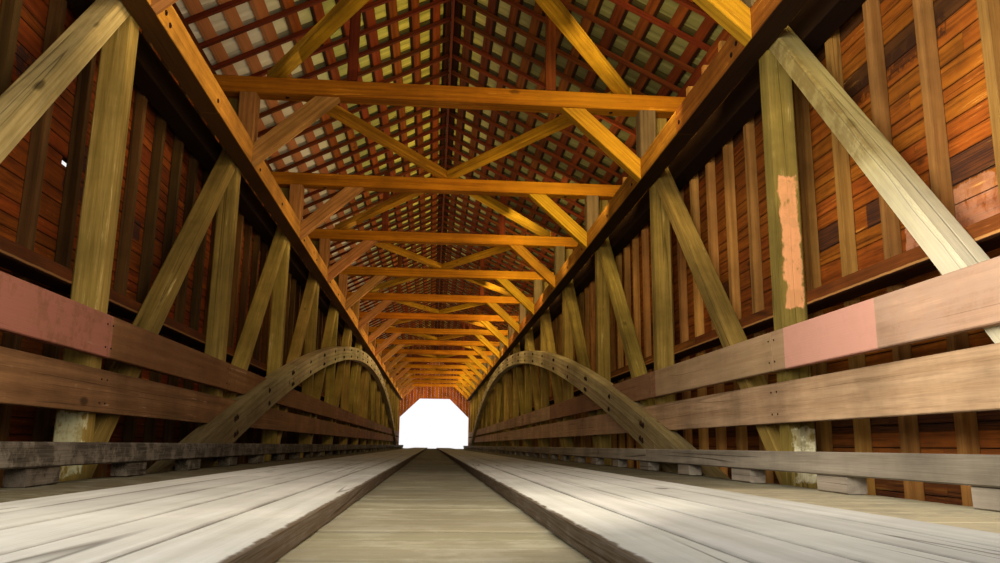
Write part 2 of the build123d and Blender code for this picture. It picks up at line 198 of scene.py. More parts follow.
def timberFinish(name, look, patches):
    # Sawn softwood: rings, fibres, drying checks and a few knots run with each timber, and each has its own tone
    mat, tree = newFinish(name)
    light, dark, deep = look["light"], look["dark"], look["deep"]
    local, size, tone = ownValue(tree, "local"), ownValue(tree, "boardSize"), ownValue(tree, "tone", "Fac")
    world = ownPlace(tree)
    metre = vector(tree, "MULTIPLY", local, size)
    place = vector(tree, "ADD", metre, vector(tree, "MULTIPLY", tone, (37.0, 61.0, 83.0)))
    grain = noise(tree, place, [look["fine"] * scale for scale in often["grain"]], 5.0, 0.6, 0.4)
    fibre = noise(tree, place, often["fibre"], 3.0, 0.6)
    cloud = noise(tree, world, often["cloud"], 5.0, 0.62)
    broad = noise(tree, world, often["broad"], 3.0, 0.5)
    # The heart of the log lies a little outside the timber and leans across it
    heart = addNode(tree, "ShaderNodeCombineXYZ", {
        1: span(tree, chance(tree, tone, 13.7), 0.0, 1.0, -0.09, 0.09),
        2: span(tree, chance(tree, tone, 29.3), 0.0, 1.0, 0.02, 0.1)}).outputs[0]
    lean = output(tree, "ShaderNodeMapping", {"Vector": metre, "Rotation": (0.0, 0.035, 0.022),
                                              "Scale": (0.1, 1.0, 1.0)})
    ring = addNode(tree, "ShaderNodeTexWave", {
        "Vector": vector(tree, "ADD", lean, heart), "Scale": look["rings"], "Distortion": 4.0, "Detail": 2.0,
        "Detail Scale": 1.6}, wave_type="RINGS", rings_direction="X").outputs[1]
    figure = plus(tree, times(tree, grain, 0.55), times(tree, ring, look["ringDepth"]))
    figure = plus(tree, figure, times(tree, fibre, 0.3))
    colour = blend(tree, span(tree, figure, 0.3, 0.7, 0.0, 1.0), dark, light)
    if "odd" in look:  # a few boards of another colour
        pick = calc(tree, "GREATER_THAN", chance(tree, tone, 41.3), look["oddFrom"])
        other = blend(tree, grain, look["odd"], light)
        colour = blend(tree, pick, colour, blend(tree, 0.8, other, look["odd"]))
    value = span(tree, chance(tree, tone, 7.31), 0.0, 1.0, 1.0 - look["spread"], 1.0 + look["spread"])
    value = times(tree, value, span(tree, cloud, 0.34, 0.62, 1.0 - look["stain"], 1.0))
    value = times(tree, value, span(tree, broad, 0.35, 0.6, 1.0 - look["stain"] * 0.6, 1.05))
    hue = span(tree, tone, 0.0, 1.0, 0.5 - look["hueSwing"], 0.5 + look["hueSwing"])
    colour = shifted(tree, colour, value, hue)
    knot = output(tree, "ShaderNodeTexVoronoi", {"Vector": vector(tree, "MULTIPLY", place, often["knot"]),
                                                 "Scale": 1.0})
    colour = blend(tree, span(tree, knot, 0.045, 0.085, look["knots"], 0.0), colour, deep)
    check = noise(tree, place, often["check"], 1.0, 0.4)
    crack = span(tree, calc(tree, "ABSOLUTE", minus(tree, check, 0.5)), 0.0, look["checkWidth"], 1.0, 0.0)
    crack = times(tree, crack, span(tree, noise(tree, place, often["checked"], 1.0), 0.5, 0.56, 0.0, 1.0))
    parts = axes(tree, local)
    if "split" in look:  # one long open shake
        wander = times(tree, minus(tree, noise(tree, place, often["wander"], 4.0), 0.5), look["split"]["wander"])
        off = calc(tree, "ABSOLUTE", minus(tree, plus(tree, parts[2], wander), look["split"]["at"]))
        crack = calc(tree, "MAXIMUM", crack, span(tree, off, look["split"]["width"] * 0.4, look["split"]["width"],
                                                  1.0, 0.0))
    colour = blend(tree, times(tree, crack, look["checks"]), colour, deep)
    if "streaks" in look:  # rough sawing leaves dark runs and pale splinters along each board
        run = noise(tree, place, often["streak"], 6.0, 0.72)
        colour = blend(tree, span(tree, run, 0.38, 0.52, look["streaks"], 0.0), colour, deep)
        lit = times(tree, span(tree, run, 0.59, 0.68, 0.0, 0.8), span(tree, cloud, 0.5, 0.6, 0.0, 1.0))
        colour = blend(tree, lit, colour, look["splinter"])
    if "shade" in look:  # one long edge is painted dark, as painted shade
        soot = span(tree, parts[1], look["shade"] - 0.05, look["shade"] + 0.05, 0.0, 0.93)
        colour = blend(tree, soot, colour, deep)
    # Dirt sits along the arrises, where a board meets its neighbour
    sizes = axes(tree, size)
    away = [times(tree, minus(tree, 0.5, calc(tree, "ABSOLUTE", parts[i])), sizes[i]) for i in (1, 2)]
    dirt = span(tree, calc(tree, "MAXIMUM", *away), 0.0, look["edgeWidth"], look["edge"], 0.0)
    colour = blend(tree, times(tree, dirt, span(tree, cloud, 0.3, 0.6, 1.0, 0.4)), colour, deep)
    split = axes(tree, world)
    crumb = noise(tree, world, often["crumb"], 4.0, 0.6)
    for patch in patches:
        mask = times(tree, zoneMask(tree, split, crumb, patch), span(tree, fibre, 0.3, 0.62, 1.0, patch["worn"]))
        if patch["thin"] is not None:
            worn = output(tree, "ShaderNodeTexNoise", {"Vector": world, "Scale": 13.0, "Detail": 7.0,
                                                       "Roughness": 0.7})
            mask = times(tree, mask, span(tree, worn, 0.43, 0.53, patch["thin"], 1.0))
        colour = blend(tree, times(tree, mask, patch["cover"]), colour, patch["paint"])
    height = plus(tree, times(tree, grain, 0.5), times(tree, fibre, 0.8))
    height = minus(tree, height, times(tree, crack, 1.5))
    closeFinish(tree, colour, height, 0.002, look["bump"], look["rough"])
    return mat


def wood(light, dark, deep, **more):
    return dict(usual, light=light, dark=dark, deep=deep, **more)


# Timber looks, then each finish with its name and its zones of old paint, bleaching, painted light and painted shade
wallLook = wood("#CC7220", "#944A10", "#1E0E04", splinter="#E8A84C", odd="#3C2614", oddFrom=0.97, spread=0.14,
                checks=0.3, stain=0.5, edge=0.62, fine=0.8, knots=0.8, hueSwing=0.007, streaks=0.5, bump=0.9)
trussLook = wood("#AE924C", "#86702F", "#231706", splinter="#CDB678", spread=0.14, checks=0.55, stain=0.42,
                 edge=0.5, edgeWidth=0.008, streaks=0.25)
firLook = wood("#CC8014", "#935008", "#3A1C04", splinter="#DCA038", spread=0.12, checks=0.4, stain=0.36, streaks=0.3)
stripLook = wood("#A65416", "#6C300A", "#120703", spread=0.22, checks=0.3, knots=0.5, shade=0.24)
studLook = wood("#D29A50", "#90602A", "#241204", spread=0.32, checks=0.5, stain=0.45, edge=0.4)
railLook = wood("#D2AE88", "#A88462", "#24160C", splinter="#C0A080", spread=0.07, checks=0.4, stain=0.4, edge=0.5,
                bump=0.4, streaks=0.2)
secondPost, upperPlank, wallFace = (-11.79, -11.77), (2.17, 2.4), (1.0, 1.4715)
slateRight = [zone("#231D1A", z=(2.685, 2.776), y=run, x=wallFace, cover=0.95, ragged=0.012, soft=0.001) for run in (
    (-12.66, -12.35), (-12.14, -11.98), (-11.9, -11.5), (-11.02, -10.9), (-10.7, -10.5), (-9.4, -9.0))]
slateLeft = [zone("#1C1C1E", z=(low, low + 0.1), y=(at, at + wide), x=(-1.4715, -1.0), cover=0.85, ragged=0.08)
             for at, wide, low in ((-11.62, 0.2, 2.83), (-11.5, 0.14, 2.96), (-11.02, 0.2, 2.83), (-12.05, 0.25, 3.1),
                                   (-10.5, 0.25, 2.9))]
# On the roof strips the top strip at the ridge is black as painted shade, and the strips near the left eave are
# lighter as painted light
stripPaintedLightAndShade = [zone("#140A04", x=(-0.075, 0.075), cover=0.92), zone("#DC9660", x=(-1.8, -1.08), cover=0.55, soft=0.12)]
finishes = dict(
    trussPine=("weatheredSawnPine", trussLook, [
        zone("#DB9A68", y=secondPost, x=(1.236, 1.304), z=(2.43, 2.946), ragged=0.05, worn=0.85, thin=0.8),
        zone("#E6E0B8", y=secondPost, x=(1.236, 1.32), z=(1.8, 1.995), ragged=0.08, worn=0.8, thin=0.3),
        zone("#C9C79C", y=secondPost, x=(-1.32, -1.222), z=(1.8, 2.005), ragged=0.08, worn=0.8, thin=0.4)]),
    palePine=("bleachedSplitPine", dict(trussLook, light="#CCC18C", dark="#A79860", spread=0.04, split=shake), [
        zone("#9C8C4C", z=(3.0, 4.0), cover=0.75, soft=0.35),
        zone("#5C4620", x=(1.2, 1.236), z=(2.78, 3.7), soft=0.03, thin=0.35, worn=0.9),
        zone("#D4CEB8", z=(1.6, 2.6), cover=0.6, soft=0.2)]),
    # A lighter copy of the truss pine for the near left brace, as painted light
    litKhakiPine=("litKhakiSawnPine", dict(trussLook, light="#DCC988", dark="#A8924E"), []),
    frameOak=("dullFrameTimber", wood("#7E6A48", "#574529", "#1C1409", spread=0.15), []),
    # The bright gold on the right ends of the ties is painted light
    tieFir=("goldenSawnFir", firLook, [zone("#D8A01C", x=(0.55, 1.2), z=(3.88, 4.0), cover=0.6, soft=0.3)]),
    braceFir=("brightSawnFir", dict(firLook, light="#CE9A22", dark="#966812"), []),
    # A duller copy of the fir for the left head blocks and knee braces, as painted shade
    leftShadedFir=("leftShadedBrownFir", dict(firLook, light="#CC9050", dark="#8E5E2C"), []),
    # On both chords the dark underside and the dark outer leaf are painted shade
    rightChord=("sootedChordFir", dict(firLook, light="#BA7A24", dark="#7C4A10", stain=0.5), [
        zone("#221407", z=(3.3, 3.4645), soft=0.0015, worn=0.95),
        zone("#190C04", x=(1.3, 1.5), soft=0.0015, worn=0.95)]),
    leftChord=("goldenChordFir", dict(firLook, light="#D89A3C", dark="#A06A20", stain=0.5), [
        zone("#4A3014", z=(3.3, 3.4645), soft=0.0015, worn=0.95),
        zone("#190C04", x=(-1.5, -1.3), soft=0.0015, worn=0.95)]),
    # The arch ribs are darker low down, and more so on the left, as painted shade
    archPine=("greyLaminatedPine", wood("#DCCB9C", "#A8945E", "#241A0C", spread=0.12, checks=0.5, edge=0.6,
                                        edgeWidth=0.004), [
        zone("#4E3C1E", z=(0.0, 2.3), cover=0.85, soft=0.3),
        zone("#281C0E", z=(0.0, 2.3), x=(-1.3, -1.0), cover=0.85, soft=0.3)]),
    stripSpruce=("orangeRoofSpruce", stripLook, stripPaintedLightAndShade),
    # A darker copy of the strip timber for the right slope, as painted shade
    rightShadedSpruce=("rightShadedRoofSpruce", dict(stripLook, light="#7A3E14", dark="#46200A"), stripPaintedLightAndShade),
    rafterSpruce=("darkRafterSpruce", wood("#7C3B15", "#4B1F0B", "#1B0903", checks=0.3, knots=0.5), []),
    rightBoard=("roughWallBoards", wallLook, slateRight + [
        zone("#2A160A", z=(3.16, 3.24), y=(-12.5, -11.9), x=wallFace, cover=0.85, ragged=0.1),
        # Painted shade: the lower wall behind and under the guard planks and curb, and the wall further in from the
        # near end
        zone("#7E5E42", z=(0.0, 2.1), x=(1.3, 1.46), cover=0.65, soft=0.012),
        zone("#15100D", z=(1.972, 2.1), x=(1.3, 1.4665), cover=0.93, soft=0.002),
        zone("#1A1310", z=(0.0, 1.83), x=(1.3, 1.4665), cover=0.88, soft=0.002),
        zone("#42200A", y=(-11.15, 14.0), x=(1.3, 1.4715), cover=0.6),
        zone("#C08A68", z=(2.5, 2.68), y=(-12.68, -12.2), x=(1.3, 1.4715), cover=0.7, ragged=0.06, thin=0.5)]),
    # The left wall boards are a darker copy as painted shade, and darker again low down behind the guard planks, also
    # painted shade
    leftBoard=("leftShadedWallBoards", dict(wallLook, light="#A04E14", dark="#6A2E08", splinter="#B86C30"), slateLeft + [
        zone("#160C05", z=(0.0, 2.05), x=(-1.46, -1.3), cover=0.8, soft=0.012)]),
    # A dark sheet behind the boards, painted shade seen through the gaps
    lapShadow=("gapShadeSheet", wood("#2A1508", "#150A04", "#0A0502", spread=0.1), []),
    rightStud=("dustyStudPine", studLook, []),
    # A darker copy of the stud pine for the left wall, as painted shade
    leftStud=("leftShadedStudPine", dict(studLook, light="#6E4E26", dark="#452E12", deep="#140B04", spread=0.2), []),
    girtPine=("dustyGirtPine", wood("#8E4E1C", "#5E300E", "#140B04", spread=0.15, stain=0.4, streaks=0.25,
                                    splinter="#B87838"), [
        # Below a pale line, the black line and the brown below it are painted shade, and so is the darker left half
        zone("#B08048", z=(2.4455, 2.453), cover=0.8, ragged=0.004, soft=0.001),
        zone("#0C0603", z=(2.427, 2.4455), cover=0.97, ragged=0.004, soft=0.001),
        zone("#3A2010", z=(2.3, 2.427), cover=0.7),
        zone("#2A160A", x=(-1.5, 0.0), cover=0.6)]),
    rightRail=("rubbedRailPlank", railLook, [
        zone("#C4907C", z=upperPlank, y=(-12.454, -11.846), worn=0.95, thin=0.92),
        zone("#A68A74", z=upperPlank, y=(-14.0, -12.454), cover=0.8, thin=0.5),
        zone("#A08860", z=upperPlank, y=(-11.846, -10.15), cover=0.7, thin=0.5),
        zone("#7A4C30", z=upperPlank, y=(-10.15, -6.0), cover=0.75)]),
    # A darker copy of the rail plank for the left side, as painted shade
    leftRail=("leftShadedRailPlank", dict(railLook, light="#A0744C", dark="#6E4C2E"), [
        zone("#9A6250", z=upperPlank, y=(-14.0, -11.712), worn=0.85, thin=0.55),
        zone("#6E4426", z=upperPlank, y=(-11.712, -5.0), cover=0.6, thin=0.5)]),
    deckPlank=("dustyDeckPlank", wood("#ACA88E", "#948E76", "#3A2E1A", spread=0.06, checks=0.2, stain=0.35, knots=0.3,
                                    edge=0.5, edgeWidth=0.005), [
        zone("#746C50", z=(1.7, 1.9), cover=0.6, thin=0.0),
        # The middle of the deck is darker than its ends, as painted shade
        zone("#2E281A", y=(-12.3, 12.3), cover=0.9, soft=1.6),
        zone("#4A3E26", x=(-1.2, -0.66), cover=0.6, soft=0.05, thin=0.5),
        zone("#CFC3A0", x=(0.62, 1.2), y=(-15.0, -12.2), cover=0.6, soft=0.1, thin=0.6)]),
    runnerPlank=("scouredRunnerPlank", wood("#D2D2CA", "#B9B8AC", "#3E3428", spread=0.06, checks=0.7, stain=0.25,
                                            fine=1.4, edge=0.8), [
        # The middle of the runners is darker than their ends, as painted shade
        zone("#5E5740", y=(-12.0, 12.0), cover=0.7, soft=1.6),
        zone("#4A3C28", z=(1.7, 1.822), cover=0.7, thin=0.5),
        zone("#4A3A26", x=(-0.213, -0.2), ragged=0.014, soft=0.002, worn=0.8),
        zone("#4A3A26", x=(0.1, 0.111), ragged=0.014, soft=0.002, worn=0.8)]),
    curbPine=("greyCurbTimber", wood("#A69C88", "#786E5E", "#20160E", spread=0.12, checks=0.8, stain=0.4), [
        # The left curb is near black, as painted shade
        zone("#1E180F", x=(-1.3, 0.0), cover=0.94, thin=0.5)]),
)
finishes = {key: timberFinish(*given) for key, given in finishes.items()}
print("timber finishes made")


def sheetFinish():
    # Pale ribbed roofing, yellow-green near the ridge, with painted light near the left eave, painted shade on the
    # right slope and faint runs down the slope
    mat, tree = newFinish("paleRibbedRoofing")
    world = ownPlace(tree)
    streak = noise(tree, world, (1.2, 22.0, 1.2), 5.0)
    cloud = noise(tree, world, (0.9, 0.9, 0.9), 4.0)
    across, along = axes(tree, world)[:2]
    colour = blend(tree, span(tree, streak, 0.35, 0.65, 0.0, 1.0), "#A6A03C", "#E8DC62")
    # Bands across the roof: the pale band near the left eave is painted light and the dark band on the right slope is
    # painted shade
    for low, high, cover, paint in ((-0.35, -0.75, 0.75, "#8E9656"), (-0.8, -1.2, 0.9, "#E6DCC4"),
                                    (0.02, 0.3, 0.7, "#A09A72"), (0.25, 0.6, 0.85, "#45472C")):
        colour = blend(tree, span(tree, across, low, high, 0.0, cover), colour, paint)
    colour = shifted(tree, colour, span(tree, cloud, 0.35, 0.65, 0.65, 1.1))
    # A painted shadow lies beside each rafter, on its near side. The whole steps added keep the place above zero.
    along = plus(tree, along, 100.0 * frameStep - frameStep / 2)
    along = calc(tree, "FRACT", plus(tree, calc(tree, "DIVIDE", along, frameStep), times(tree, streak, 0.3)))
    soot = times(tree, span(tree, along, 0.25, 0.42, 1.0, 0.0), span(tree, across, -1.3, -0.9, 0.4, 0.9))
    colour = blend(tree, soot, colour, "#2A2410")
    closeFinish(tree, colour, streak, 0.002, 0.15, 0.55)
    return mat


def outerFinish():
    # The weather side of the roofing: dull grey sheet with runs of rust down the slope
    mat, tree = newFinish("weatheredOuterRoofing")
    world = ownPlace(tree)
    streak = noise(tree, world, (1.1, 26.0, 1.1), 6.0, 0.6)
    cloud = noise(tree, world, (0.8, 0.8, 0.8), 5.0)
    colour = blend(tree, span(tree, streak, 0.35, 0.65, 0.0, 1.0), "#8F948A", "#B9BDB2")
    rust = times(tree, span(tree, streak, 0.52, 0.66, 0.0, 0.8), span(tree, cloud, 0.45, 0.62, 0.0, 1.0))
    closeFinish(tree, blend(tree, rust, colour, "#7A4A2C"), streak, 0.002, 0.2, 0.5)
    return mat


def stoneFinish(name, light, dark, deep):
    # Rough squared blocks, pitted, each of its own grey, or the mortar between them
    mat, tree = newFinish(name)
    world = ownPlace(tree)
    tone = ownValue(tree, "tone", "Fac")
    grit = noise(tree, world, (26.0, 26.0, 26.0), 8.0, 0.7)
    cloud = noise(tree, world, (3.0, 3.0, 3.0), 4.0)
    colour = blend(tree, span(tree, cloud, 0.3, 0.7, 0.0, 1.0), dark, light)
    colour = blend(tree, span(tree, grit, 0.34, 0.46, 0.6, 0.0), colour, deep)
    hue = span(tree, chance(tree, tone, 17.0), 0.0, 1.0, 0.49, 0.51)
    colour = shifted(tree, colour, span(tree, tone, 0.0, 1.0, 0.75, 1.2), hue)
    closeFinish(tree, colour, grit, 0.012, 0.8, 0.9)
    return mat


def ironFinish():
    # Forged bolt heads, nearly black with rust
    mat, tree = newFinish("rustedForgedIron")
    rust = noise(tree, ownPlace(tree), (60.0, 60.0, 60.0), 6.0)
    colour = blend(tree, span(tree, rust, 0.4, 0.75, 0.0, 1.0), "#1E1914", "#4A2C1A")
    closeFinish(tree, colour, rust, 0.001, 0.5, 0.7, Metallic=0.6)
    return mat


roofing = sheetFinish()
outerRoofing = outerFinish()
stone = stoneFinish("squaredFieldStone", "#A59D8B", "#6F695C", "#3C372E")
mortar = stoneFinish("oldLimeMortar", "#8C8574", "#6A6455", "#3A352B")
iron = ironFinish()
print("other finishes made")


# Boards on points: one tree lays a board with eased edges at every point

def newTree(name, sockets):
    tree = bpy.data.node_groups.new(name, "GeometryNodeTree")
    for label, kind in sockets.items():
        tree.interface.new_socket(label, in_out="INPUT", socket_type="NodeSocket" + kind)
    tree.interface.new_socket("Geometry", in_out="OUTPUT", socket_type="NodeSocketGeometry")
    return tree, addNode(tree, "NodeGroupInput").outputs


def named(tree, name):
    return output(tree, "GeometryNodeInputNamedAttribute", {"Name": name}, data_type="FLOAT_VECTOR")


def around(tree, reach, seed):
    least = times(tree, reach, -1.0)
    return output(tree, "FunctionNodeRandomValue", {0: least, 1: reach, "Seed": seed}, data_type="FLOAT_VECTOR")


def flatShaded(tree, piece):
    return output(tree, "GeometryNodeSetShadeSmooth", {"Shade Smooth": False, "Geometry": piece})


def spread(tree, points, piece, turn, size, seed, finish):
    # The shared end of each tree: instances with a tone each, made real
    euler = output(tree, "FunctionNodeEulerToRotation", {0: turn})
    values = {"Points": points, "Instance": piece, "Rotation": euler, "Scale": size}
    laid = output(tree, "GeometryNodeInstanceOnPoints", values)
    tone = addNode(tree, "FunctionNodeRandomValue", {2: 0.0, 3: 1.0, "Seed": seed}, data_type="FLOAT").outputs[1]
    values = {"Name": "tone", "Geometry": laid, "Value": tone}
    toned = addNode(tree, "GeometryNodeStoreNamedAttribute", values, data_type="FLOAT", domain="INSTANCE")
    real = output(tree, "GeometryNodeRealizeInstances", {"Geometry": toned.outputs[0]})
    return output(tree, "GeometryNodeSetMaterial", {"Geometry": real, "Material": finish})


def boardTree():
    tree, given = newTree("boardsOnPoints", dict(Points="Geometry", Edge="Float", Shift="Float", Twist="Float",
                                                 Seed="Int", Finish="Material"))
    profile = output(tree, "GeometryNodeCurvePrimitiveQuadrilateral", {"Width": 1.0, "Height": 1.0})
    eased = output(tree, "GeometryNodeFilletCurve", {"Count": 1, "Curve": profile, "Radius": given["Edge"]},
                   mode="POLY")
    line = output(tree, "GeometryNodeCurvePrimitiveLine", {"Start": (-0.5, 0, 0), "End": (0.5, 0, 0)})
    board = output(tree, "GeometryNodeCurveToMesh", {"Fill Caps": True, "Curve": line, "Profile Curve": eased})
    here = output(tree, "GeometryNodeInputPosition")
    values = {"Name": "local", "Geometry": flatShaded(tree, board), "Value": here}
    kept = output(tree, "GeometryNodeStoreNamedAttribute", values, data_type="FLOAT_VECTOR", domain="POINT")
    nudge = around(tree, given["Shift"], given["Seed"])
    moved = output(tree, "GeometryNodeSetPosition", {"Geometry": given["Points"], "Offset": nudge})
    turn = vector(tree, "ADD", named(tree, "turn"), around(tree, given["Twist"], given["Seed"]))
    done = spread(tree, moved, kept, turn, named(tree, "boardSize"), given["Seed"], given["Finish"])
    addNode(tree, "NodeGroupOutput", {"Geometry": done})
    return tree


def boltTree():
    tree, given = newTree("boltsOnPoints", dict(Points="Geometry", Washer="Float", Head="Float", Height="Float",
                                                Seed="Int", Finish="Material"))
    washer = addNode(tree, "GeometryNodeMeshCylinder", {"Vertices": 10, "Depth": 0.004, "Radius": given["Washer"]})
    head = addNode(tree, "GeometryNodeMeshCylinder", {"Vertices": 6, "Radius": given["Head"],
                                                      "Depth": given["Height"]})
    both = addNode(tree, "GeometryNodeJoinGeometry")
    for part in (washer, head):
        tree.links.new(part.outputs[0], both.inputs[0])
    done = spread(tree, given["Points"], both.outputs[0], named(tree, "turn"), (1.0, 1.0, 1.0), given["Seed"],
                  given["Finish"])
    addNode(tree, "NodeGroupOutput", {"Geometry": done})
    return tree


def stoneTree():
    tree, given = newTree("stonesOnPoints", dict(Points="Geometry", Rough="Float", Seed="Int", Finish="Material"))
    block = output(tree, "GeometryNodeMeshCube", {"Size": (1, 1, 1), "Vertices X": 4, "Vertices Y": 4,
                                                  "Vertices Z": 3})
    laid = spread(tree, given["Points"], flatShaded(tree, block), named(tree, "turn"), named(tree, "boardSize"),
                  given["Seed"], given["Finish"])
    here = output(tree, "GeometryNodeInputPosition")
    tone = output(tree, "GeometryNodeInputNamedAttribute", {"Name": "tone"}, data_type="FLOAT")
    apart = vector(tree, "ADD", vector(tree, "MULTIPLY", here, (9.0, 9.0, 9.0)), times(tree, tone, 50.0))
    wander = addNode(tree, "ShaderNodeTexNoise", {"Vector": apart, "Scale": 1.0, "Detail": 2.0}).outputs[1]
    wander = vector(tree, "MULTIPLY", vector(tree, "SUBTRACT", wander, (0.5, 0.5, 0.5)), given["Rough"])
    bent = output(tree, "GeometryNodeSetPosition", {"Geometry": laid, "Offset": wander})
    addNode(tree, "NodeGroupOutput", {"Geometry": bent})
    return tree


boardsOnPoints = boardTree()
boltsOnPoints = boltTree()
stonesOnPoints = stoneTree()


def plainPiece(name, mesh, nodes):
    piece = bpy.data.objects.new(name, mesh)
    scene.collection.objects.link(piece)
    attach(piece, "root")
    if nodes:
        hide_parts(*nodes)


def grown(name, places, tree, values):
    # Points with their sizes and turns go through the tree and come back as one plain mesh
    mesh = bpy.data.meshes.new(name + "Points")
    mesh.from_pydata([p[0] for p in places], [], [])
    for label, column in (("boardSize", 1), ("turn", 2)):
        layer = mesh.attributes.new(label, "FLOAT_VECTOR", "POINT")
        layer.data.foreach_set("vector", [v for p in places for v in p[column]])
    holder = bpy.data.objects.new(name + "Points", mesh)
    scene.collection.objects.link(holder)
    modifier = holder.modifiers.new("grow", "NODES")
    modifier.node_group = tree
    for item in tree.interface.items_tree:
        if item.in_out == "INPUT" and item.name in values:
            modifier[item.identifier] = values[item.name]
    evaluated = holder.evaluated_get(bpy.context.evaluated_depsgraph_get())
    made = bpy.data.meshes.new_from_object(evaluated)
    holder.modifiers.clear()
    bpy.data.objects.remove(holder)
    made.name = name
    return made


def boards(name, places, finish, nodes, edge=0.06, shift=0.0, twist=0.0, seed=1):
    values = {"Edge": edge, "Shift": shift, "Twist": twist, "Seed": seed, "Finish": finishes[finish]}
    plainPiece(name, grown(name, places, boardsOnPoints, values), nodes)


def bolts(name, places, washer=0.017, head=0.009, height=0.016):
    values = {"Washer": washer, "Head": head, "Height": height, "Seed": 3, "Finish": iron}
    plainPiece(name, grown(name, [(p, (1, 1, 1), t) for p, t in places], boltsOnPoints, values), [])


def solid(name, verts, faces, finish, local=None, sizes=None, tones=None):
    mesh = bpy.data.meshes.new(name)
    mesh.from_pydata(verts, [], faces)
    work = bmesh.new()
    work.from_mesh(mesh)
    bmesh.ops.recalc_face_normals(work, faces=work.faces)
    work.to_mesh(mesh)
    work.free()
    for label, rows in (("local", local), ("boardSize", sizes)):
        if rows:
            layer = mesh.attributes.new(label, "FLOAT_VECTOR", "POINT")
            layer.data.foreach_set("vector", [v for row in rows for v in row])
    if tones:
        mesh.attributes.new("tone", "FLOAT", "POINT").data.foreach_set("value", tones)
    mesh.materials.append(finish)
    return mesh


def beams(name, pairs, finish, nodes, ease=0.004, seed=1):
    # Timbers between two end outlines of four corners each, with eased arrises and ends cut as given
    rng = random.Random(seed)
    square = ((-0.5, -0.5), (0.5, -0.5), (0.5, 0.5), (-0.5, 0.5))
    verts, faces, local, sizes, tones = [], [], [], [], []
    for first, last in pairs:
        first, last = [Vector(p) for p in first], [Vector(p) for p in last]
        size = ((last[0] - first[0]).length, (first[1] - first[0]).length, (first[2] - first[1]).length)
        tone = rng.random()
        base = len(verts)
        for u, ring in ((-0.5, first), (0.5, last)):
            for i in range(4):
                for other in ((i - 1) % 4, (i + 1) % 4):
                    edge = ring[other] - ring[i]
                    part = min(0.3, ease / edge.length)
                    verts.append(ring[i] + edge * part)
                    local.append((u, *(square[i][c] + (square[other][c] - square[i][c]) * part for c in (0, 1))))
                    sizes.append(size)
                    tones.append(tone)
        faces.extend((base + i, base + (i + 1) % 8, base + 8 + (i + 1) % 8, base + 8 + i) for i in range(8))
        faces.append(tuple(base + i for i in range(8)))
        faces.append(tuple(base + 8 + i for i in range(8)))
    plainPiece(name, solid(name, verts, faces, finishes[finish], local, sizes, tones), nodes)


def cutLengths(rng, start, stop, low, high):
    # Butt joints fall on the frame that carries the boards
    cuts = [start - frameStep * rng.randint(0, low)]
    while cuts[-1] < stop - 1e-6:
        cuts.append(min(stop, cuts[-1] + frameStep * rng.randint(low, high)))
        if stop - cuts[-1] < frameStep * 1.5:
            cuts[-1] = stop
    return [(max(a, start), b) for a, b in zip(cuts, cuts[1:]) if b - max(a, start) > 0.05]


def laid(x, y, look, turn):
    return (x, y, look["z"]), look["size"], turn


def inRow(x, look, turn=lengthUp):
    # Equal timbers end to end along the bridge
    return [laid(x, (i - (look["count"] - 1) / 2) * look["step"], look, turn) for i in range(look["count"])]


# Side walls: two skins of boards over a dark sheet that stands as painted shade in the gaps, with one small hole on
# the left
wall = dict(span=(1.35, 3.891), boardLow=0.042, boardHigh=0.088, slate=(2.69, 2.775), skins=(1.46685, 1.47715),
            thick=0.0074, shift=0.0003, gap=0.0032, butt=0.002, least=0.012, runs=(5, 11), lapX=1.472, lapThick=0.003)
stud = dict(x=1.4405, z=2.7229, size=(2.6658, 0.04, 0.0445))
hole = dict(side=-1, low=(-11.655, 2.924), high=(-11.6, 2.944), lean=0.02)


def roundHole(y0, y1, z0, z1, lean, butt=0.0):
    # A board as four boxes that leave the hole free
    a, b = hole["low"][0] + lean, hole["high"][0] + lean
    return [(y0, a + butt, z0, z1), (b, y1, z0, z1), (a, b + butt, z0, hole["low"][1]),
            (a, b + butt, hole["high"][1], z1)]


